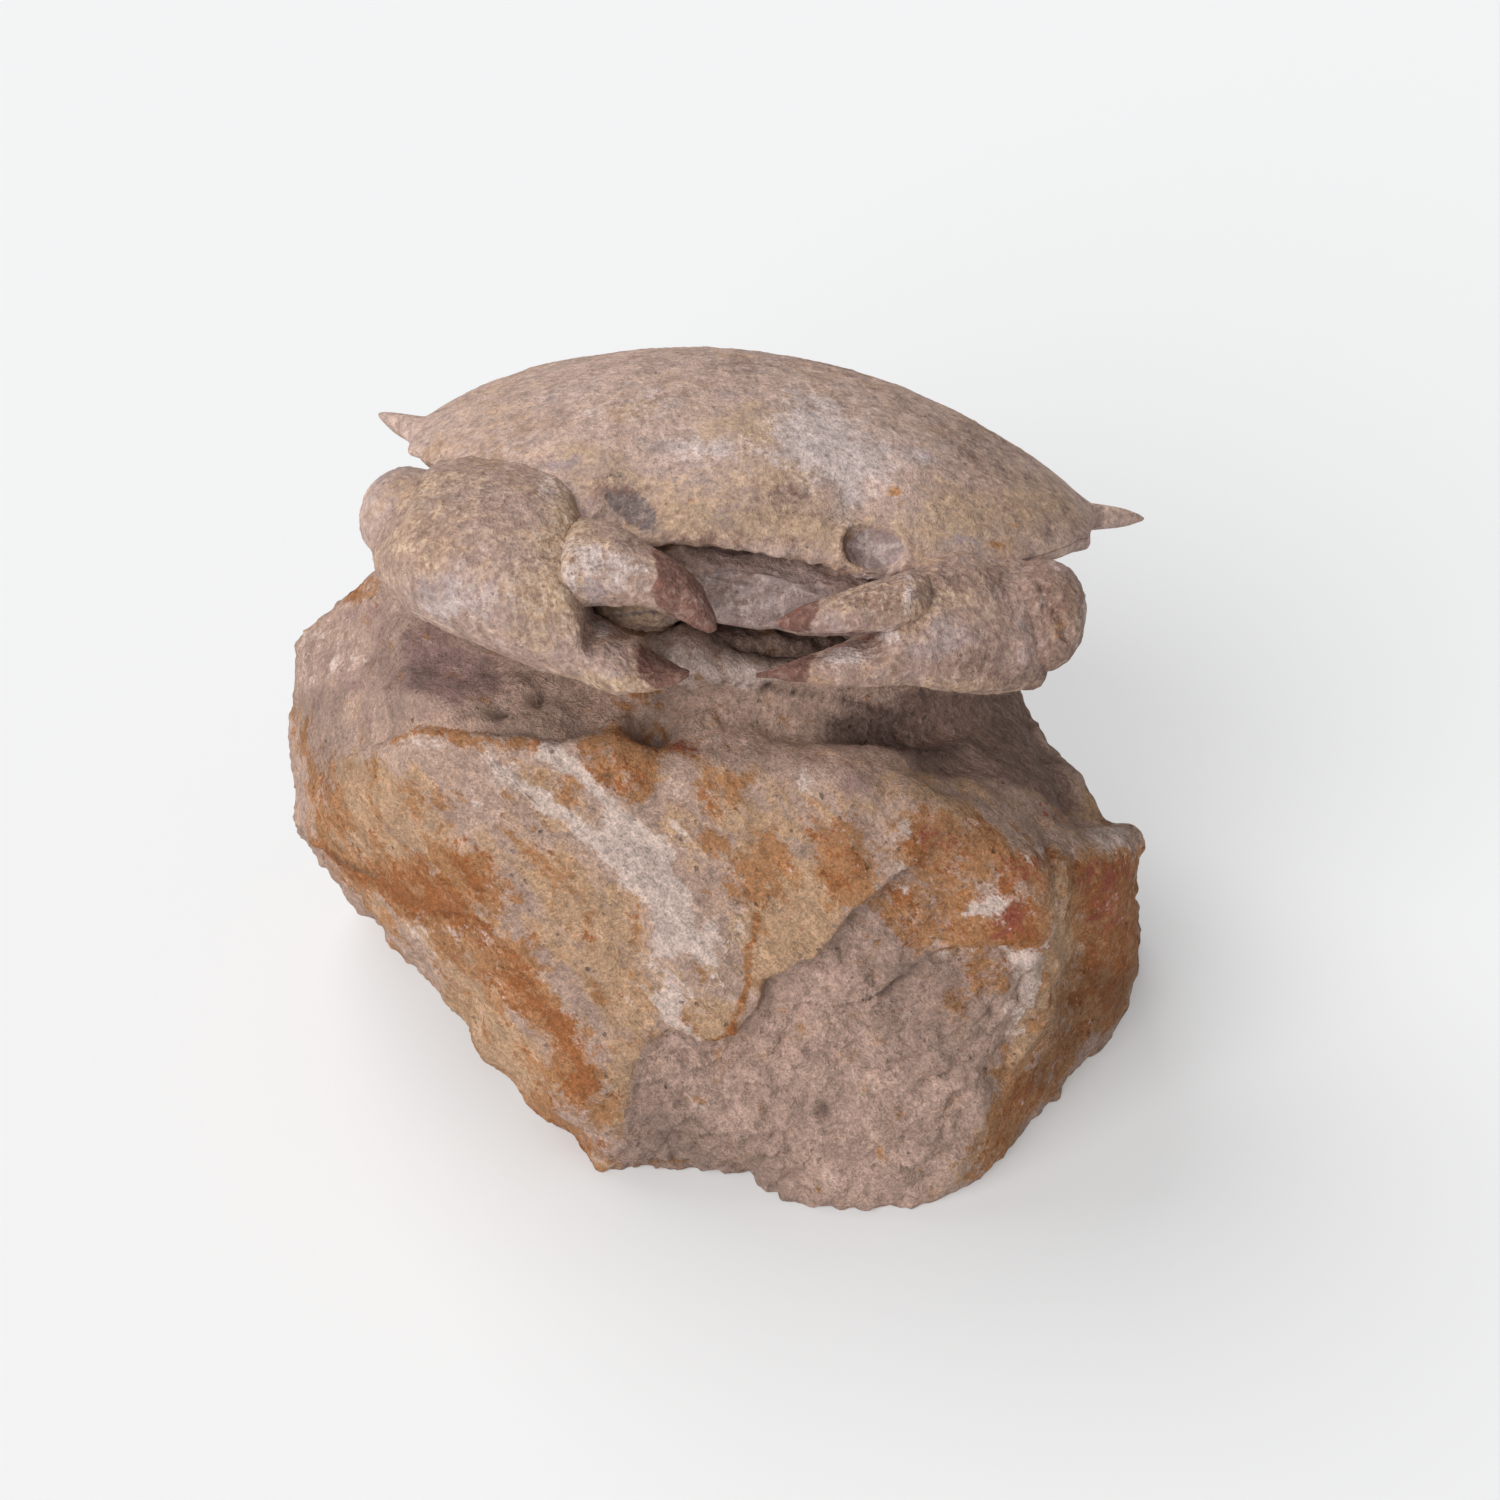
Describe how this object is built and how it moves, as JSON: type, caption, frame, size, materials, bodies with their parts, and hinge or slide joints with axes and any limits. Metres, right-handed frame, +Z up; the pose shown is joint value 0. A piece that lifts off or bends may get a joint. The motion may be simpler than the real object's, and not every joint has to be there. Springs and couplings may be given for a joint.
{
  "type": "fossil crab",
  "caption": "Fossil crab with a domed shell and two unequal claws, standing on the block of stone that it formed in; a display piece that rests on the stone's flat base.",
  "frame": {"origin": "middle of the footprint, on the surface that the stone stands on", "axes": "+Z up; the crab's face and claws look along -Y; +X runs from its big claw to its small claw"},
  "size_m": [0.1432, 0.114, 0.1186],
  "materials": {
    "matrix": "rough broken stone, stained orange by iron",
    "shell": "finely pitted fossil shell, matt",
    "underside": "worn fossil and stone, matt",
    "claw": "grainy fossil shell, matt",
    "fingertip": "dark reddish brown fossil shell, slightly smooth",
    "joint": "smooth pale fossil shell, matt"
  },
  "bodies": {
    "root": {"matrix_stone": "matrix", "carapace": "shell", "face": "underside", "big_claw_palm": "claw", "big_claw_finger": "fingertip", "big_claw_wrist": "joint", "small_claw_palm": "claw", "small_claw_finger": "fingertip", "small_claw_wrist": "joint", "small_claw_arm": "joint"}
  },
  "joints": []
}
